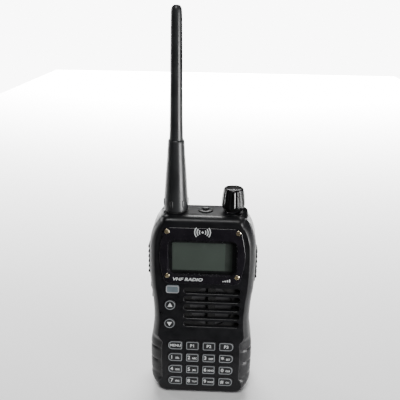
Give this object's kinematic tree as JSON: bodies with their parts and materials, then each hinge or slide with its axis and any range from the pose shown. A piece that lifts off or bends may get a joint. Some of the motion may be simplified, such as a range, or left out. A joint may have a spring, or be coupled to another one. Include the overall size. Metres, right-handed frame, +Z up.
{
  "type": "handheld two-way radio",
  "caption": "Handheld radio transceiver with display, keypad, side talk key, volume knob, slide-off battery pack, belt clip and a tapered whip antenna.",
  "frame": {"origin": "middle of the base, half-way through the depth of radio and battery pack", "axes": "+Z up along the case, +X to the right of a person looking at the keypad, the keypad faces -Y and the battery pack +Y"},
  "size_m": [0.0592, 0.0407, 0.2115],
  "materials": {
    "case_black": "satin, finely textured",
    "chassis_black": "fine matt paint on die casting",
    "rubber_black": "matt, moulded",
    "rubber_grey": "matt silicone",
    "screw_steel": "plated",
    "screw_gold": "pale gold plated",
    "panel_gloss": "polished",
    "lens_clear": "clear acrylic",
    "display_grey": "liquid crystal glass, unlit",
    "plastic_white": "matt",
    "plastic_dark": "satin",
    "speaker_metal": "black frame and cone",
    "shield_metal": "tinned",
    "board_green": "solder mask",
    "contact_gold": "gold plated",
    "lamp_smoked": "smoked, polished",
    "knob_gloss": "polished",
    "antenna_rubber": "satin",
    "cell_wrap": "shrink wrap",
    "key_black": "satin",
    "key_clear_grey": "translucent grey"
  },
  "bodies": {
    "radio": {"front_housing": "case_black", "case_seal": "rubber_black", "rear_chassis": "chassis_black", "case_screws": "screw_steel", "face_plate": "panel_gloss", "plate_screws": "screw_gold", "display_window": "lens_clear", "display_module": "display_grey", "display_holder": "plastic_white", "speaker": "speaker_metal", "microphone": "shield_metal", "keypad_mat": "rubber_grey", "main_board": "board_green", "board_screws": "screw_steel", "shield_cans": "shield_metal", "audio_jack_block": "plastic_dark", "volume_control": "shield_metal", "antenna_jack": "contact_gold", "status_lamp": "lamp_smoked", "side_switch_board": "board_green", "ptt_pin": "screw_steel", "battery_terminals": "contact_gold", "clip_base": "plastic_dark", "clip_pin": "screw_steel", "clip_spring": "screw_steel", "clip_screws": "screw_steel"},
    "antenna": {"antenna_boot": "antenna_rubber", "antenna_whip": "antenna_rubber", "antenna_plug": "contact_gold"},
    "knob": {"volume_knob": "knob_gloss", "control_shaft": "screw_steel"},
    "ptt": {"ptt_button": "rubber_black"},
    "cover": {"jack_cover": "rubber_black"},
    "battery": {"battery_tray": "case_black", "battery_cover": "case_black", "battery_cells": "cell_wrap", "battery_contacts": "contact_gold"},
    "latch": {"battery_latch": "plastic_dark"},
    "clip": {"belt_clip": "plastic_dark"},
    "side_key_upper_body": {"side_key_upper": "rubber_black"},
    "side_key_lower_body": {"side_key_lower": "rubber_black"},
    "key_menu_body": {"key_menu": "key_black"},
    "key_p1_body": {"key_p1": "key_black"},
    "key_p2_body": {"key_p2": "key_black"},
    "key_p3_body": {"key_p3": "key_black"},
    "key_1_body": {"key_1": "key_black"},
    "key_2_body": {"key_2": "key_black"},
    "key_3_body": {"key_3": "key_black"},
    "key_star_body": {"key_star": "key_black"},
    "key_4_body": {"key_4": "key_black"},
    "key_5_body": {"key_5": "key_black"},
    "key_6_body": {"key_6": "key_black"},
    "key_0_body": {"key_0": "key_black"},
    "key_7_body": {"key_7": "key_black"},
    "key_8_body": {"key_8": "key_black"},
    "key_9_body": {"key_9": "key_black"},
    "key_hash_body": {"key_hash": "key_black"},
    "key_function_body": {"key_function": "key_clear_grey"},
    "key_up_body": {"key_up": "key_black"},
    "key_down_body": {"key_down": "key_black"}
  },
  "joints": [
    {"name": "antenna_unscrew", "type": "hinge", "parent": "radio", "child": "antenna", "pos_m": [-0.0148, -0.0045, 0.107], "axis": [0, 0, 1], "continuous": true},
    {"name": "volume_turn", "type": "hinge", "parent": "radio", "child": "knob", "pos_m": [0.0156, -0.0045, 0.107], "axis": [0, 0, -1], "range_deg": [0, 285]},
    {"name": "ptt_press", "type": "hinge", "parent": "radio", "child": "ptt", "pos_m": [-0.026, -0.0045, 0.0894], "axis": [0, -1, 0], "range_deg": [0, 4], "stiffness_Nm_per_rad": 0.25, "springref_deg": -4.58},
    {"name": "jack_cover_open", "type": "hinge", "parent": "radio", "child": "cover", "pos_m": [0.0274, -0.004, 0.088], "axis": [0, -1, 0], "range_deg": [0, 100]},
    {"name": "battery_release", "type": "slide", "parent": "radio", "child": "battery", "axis": [0, 0, -1], "range_m": [0, 0.006]},
    {"name": "latch_slide", "type": "slide", "parent": "radio", "child": "latch", "axis": [0, -1, 0], "range_m": [0, 0.0018]},
    {"name": "belt_clip_open", "type": "hinge", "parent": "radio", "child": "clip", "pos_m": [0, 0.021, 0.0946], "axis": [1, 0, 0], "range_deg": [0, 15], "stiffness_Nm_per_rad": 0.6, "springref_deg": -8.59},
    {"name": "side_key_upper_press", "type": "slide", "parent": "radio", "child": "side_key_upper_body", "axis": [1, 0, 0], "range_m": [0, 0.0006], "stiffness_N_per_m": 200, "springref_m": -0.002},
    {"name": "side_key_lower_press", "type": "slide", "parent": "radio", "child": "side_key_lower_body", "axis": [1, 0, 0], "range_m": [0, 0.0006], "stiffness_N_per_m": 200, "springref_m": -0.002},
    {"name": "key_menu_press", "type": "slide", "parent": "radio", "child": "key_menu_body", "axis": [0, 1, 0], "range_m": [0, 0.0006], "stiffness_N_per_m": 200, "springref_m": -0.002},
    {"name": "key_p1_press", "type": "slide", "parent": "radio", "child": "key_p1_body", "axis": [0, 1, 0], "range_m": [0, 0.0006], "stiffness_N_per_m": 200, "springref_m": -0.002},
    {"name": "key_p2_press", "type": "slide", "parent": "radio", "child": "key_p2_body", "axis": [0, 1, 0], "range_m": [0, 0.0006], "stiffness_N_per_m": 200, "springref_m": -0.002},
    {"name": "key_p3_press", "type": "slide", "parent": "radio", "child": "key_p3_body", "axis": [0, 1, 0], "range_m": [0, 0.0006], "stiffness_N_per_m": 200, "springref_m": -0.002},
    {"name": "key_1_press", "type": "slide", "parent": "radio", "child": "key_1_body", "axis": [0, 1, 0], "range_m": [0, 0.0006], "stiffness_N_per_m": 200, "springref_m": -0.002},
    {"name": "key_2_press", "type": "slide", "parent": "radio", "child": "key_2_body", "axis": [0, 1, 0], "range_m": [0, 0.0006], "stiffness_N_per_m": 200, "springref_m": -0.002},
    {"name": "key_3_press", "type": "slide", "parent": "radio", "child": "key_3_body", "axis": [0, 1, 0], "range_m": [0, 0.0006], "stiffness_N_per_m": 200, "springref_m": -0.002},
    {"name": "key_star_press", "type": "slide", "parent": "radio", "child": "key_star_body", "axis": [0, 1, 0], "range_m": [0, 0.0006], "stiffness_N_per_m": 200, "springref_m": -0.002},
    {"name": "key_4_press", "type": "slide", "parent": "radio", "child": "key_4_body", "axis": [0, 1, 0], "range_m": [0, 0.0006], "stiffness_N_per_m": 200, "springref_m": -0.002},
    {"name": "key_5_press", "type": "slide", "parent": "radio", "child": "key_5_body", "axis": [0, 1, 0], "range_m": [0, 0.0006], "stiffness_N_per_m": 200, "springref_m": -0.002},
    {"name": "key_6_press", "type": "slide", "parent": "radio", "child": "key_6_body", "axis": [0, 1, 0], "range_m": [0, 0.0006], "stiffness_N_per_m": 200, "springref_m": -0.002},
    {"name": "key_0_press", "type": "slide", "parent": "radio", "child": "key_0_body", "axis": [0, 1, 0], "range_m": [0, 0.0006], "stiffness_N_per_m": 200, "springref_m": -0.002},
    {"name": "key_7_press", "type": "slide", "parent": "radio", "child": "key_7_body", "axis": [0, 1, 0], "range_m": [0, 0.0006], "stiffness_N_per_m": 200, "springref_m": -0.002},
    {"name": "key_8_press", "type": "slide", "parent": "radio", "child": "key_8_body", "axis": [0, 1, 0], "range_m": [0, 0.0006], "stiffness_N_per_m": 200, "springref_m": -0.002},
    {"name": "key_9_press", "type": "slide", "parent": "radio", "child": "key_9_body", "axis": [0, 1, 0], "range_m": [0, 0.0006], "stiffness_N_per_m": 200, "springref_m": -0.002},
    {"name": "key_hash_press", "type": "slide", "parent": "radio", "child": "key_hash_body", "axis": [0, 1, 0], "range_m": [0, 0.0006], "stiffness_N_per_m": 200, "springref_m": -0.002},
    {"name": "key_function_press", "type": "slide", "parent": "radio", "child": "key_function_body", "axis": [0, 1, 0], "range_m": [0, 0.0006], "stiffness_N_per_m": 200, "springref_m": -0.002},
    {"name": "key_up_press", "type": "slide", "parent": "radio", "child": "key_up_body", "axis": [0, 1, 0], "range_m": [0, 0.0006], "stiffness_N_per_m": 200, "springref_m": -0.002},
    {"name": "key_down_press", "type": "slide", "parent": "radio", "child": "key_down_body", "axis": [0, 1, 0], "range_m": [0, 0.0006], "stiffness_N_per_m": 200, "springref_m": -0.002}
  ],
  "couplings": [
    {"joint": "latch_slide", "follows": "battery_release", "ratio": 0.3}
  ]
}
